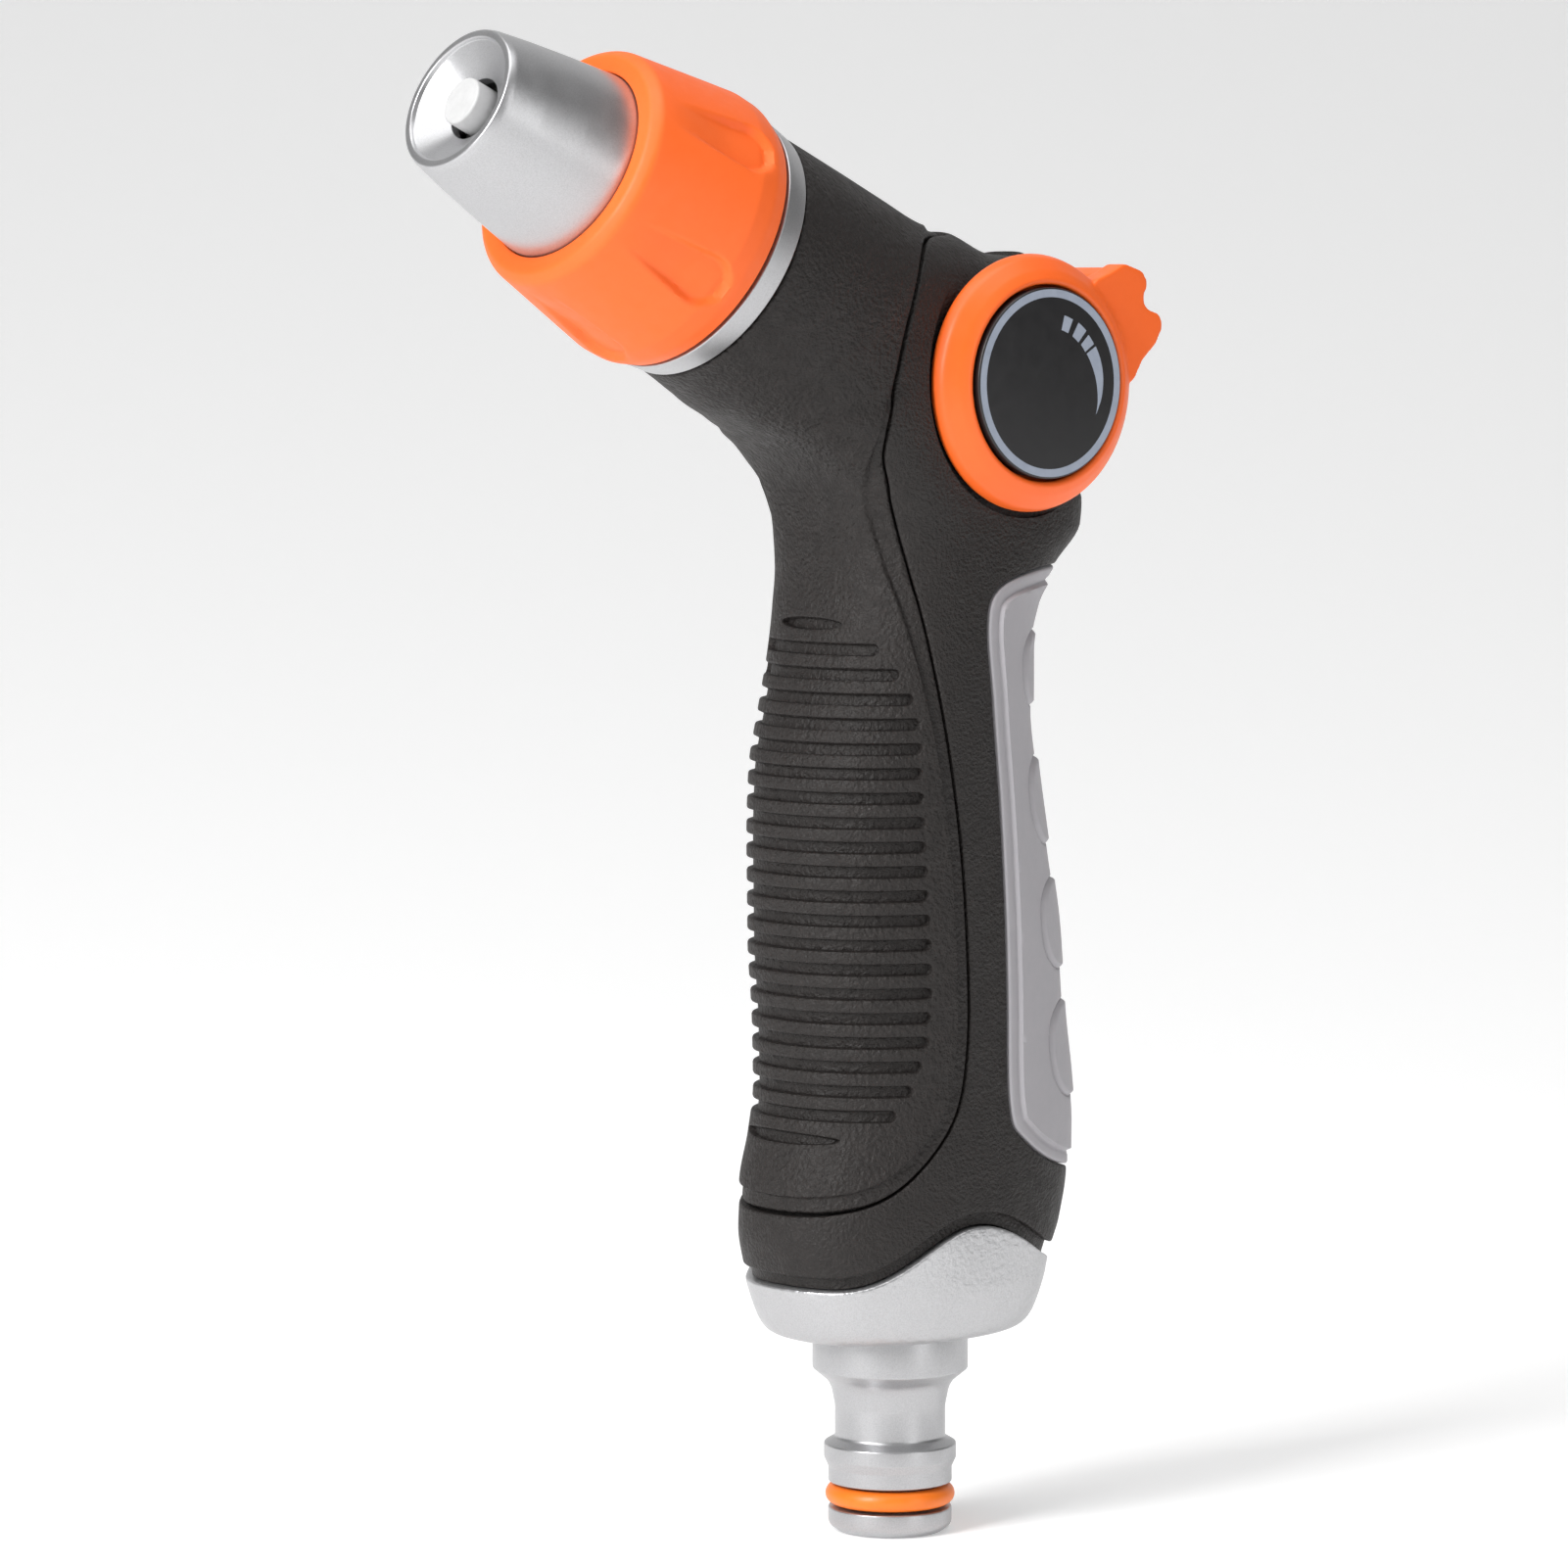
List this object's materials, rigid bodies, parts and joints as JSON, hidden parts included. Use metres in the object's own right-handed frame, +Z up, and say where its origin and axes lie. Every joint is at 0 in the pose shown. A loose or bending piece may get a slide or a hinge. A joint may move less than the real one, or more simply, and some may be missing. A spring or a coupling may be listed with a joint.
{
  "type": "hose spray nozzle",
  "caption": "Garden hose spray nozzle with a black and grey grip, an orange thumb flow lever, a twist spray head and a quick-connect hose plug.",
  "frame": {"origin": "centre of the end face of the hose plug, where the hose connector slides on", "axes": "+Z up along the hose plug and the grip, -X towards the side the water sprays to, +Y to the right-hand side of the nozzle, so the nozzle is the same on both sides of the XZ plane"},
  "size_m": [0.1036, 0.038, 0.1901],
  "materials": {
    "body_plastic": "black moulded plastic, light grain",
    "grip_rubber": "black soft-touch moulding with a fine leathery grain",
    "insert_rubber": "grey soft moulding, matt",
    "bell_silver": "pearl silver paint on plastic, satin",
    "plug_silver": "pearl silver paint on plastic, satin",
    "collar_silver": "satin silver",
    "cone_silver": "pearl silver paint on plastic, satin",
    "pin_plastic": "light grey plastic",
    "lever_orange": "orange moulded plastic",
    "dial_orange": "orange soft moulding with dimples",
    "o_ring_orange": "orange rubber",
    "cap_plastic": "black plastic with a printed grey flow mark",
    "inner_plastic": "natural moulded plastic",
    "seal_rubber": "black rubber",
    "steel": "bright steel"
  },
  "bodies": {
    "body": {"rear_body": "body_plastic", "front_grip": "grip_rubber", "grip_insert": "insert_rubber", "end_bell": "bell_silver", "hose_plug": "plug_silver", "plug_o_ring": "o_ring_orange", "inlet_washer": "seal_rubber", "inlet_tube": "inner_plastic", "tube_seal": "seal_rubber", "valve_housing": "inner_plastic", "housing_cover": "inner_plastic", "inlet_seat": "seal_rubber", "outlet_seat": "seal_rubber", "spindle_seal_left": "seal_rubber", "spindle_seal_right": "seal_rubber", "collar_ring": "collar_silver", "outlet_barrel": "inner_plastic", "barrel_seal": "seal_rubber", "stop_clip": "steel", "centre_pin": "pin_plastic"},
    "lever": {"thumb_lever": "lever_orange", "cap_left": "cap_plastic", "cap_right": "cap_plastic", "spindle_left": "steel", "spindle_right": "steel", "spindle_screw_left": "steel", "spindle_screw_right": "steel", "valve_rotor": "inner_plastic"},
    "seal_carriage": {"cone_seal": "seal_rubber"},
    "spray_head": {"nozzle_cone": "cone_silver", "spray_dial": "dial_orange"}
  },
  "joints": [
    {"name": "thumb_lever_hinge", "type": "hinge", "parent": "body", "child": "lever", "pos_m": [0.0101, 0, 0.1473], "axis": [0, 1, 0], "range_deg": [0, 46]},
    {"name": "spray_travel", "type": "slide", "parent": "body", "child": "seal_carriage", "axis": [-0.9063, 0, 0.4226], "range_m": [0, 0.00451]},
    {"name": "spray_twist", "type": "hinge", "parent": "seal_carriage", "child": "spray_head", "pos_m": [-0.0239, 0, 0.161], "axis": [-0.9063, 0, 0.4226], "range_deg": [0, 450]}
  ],
  "couplings": [
    {"joint": "spray_travel", "follows": "spray_twist", "m_per_rad": 0.00057296}
  ]
}
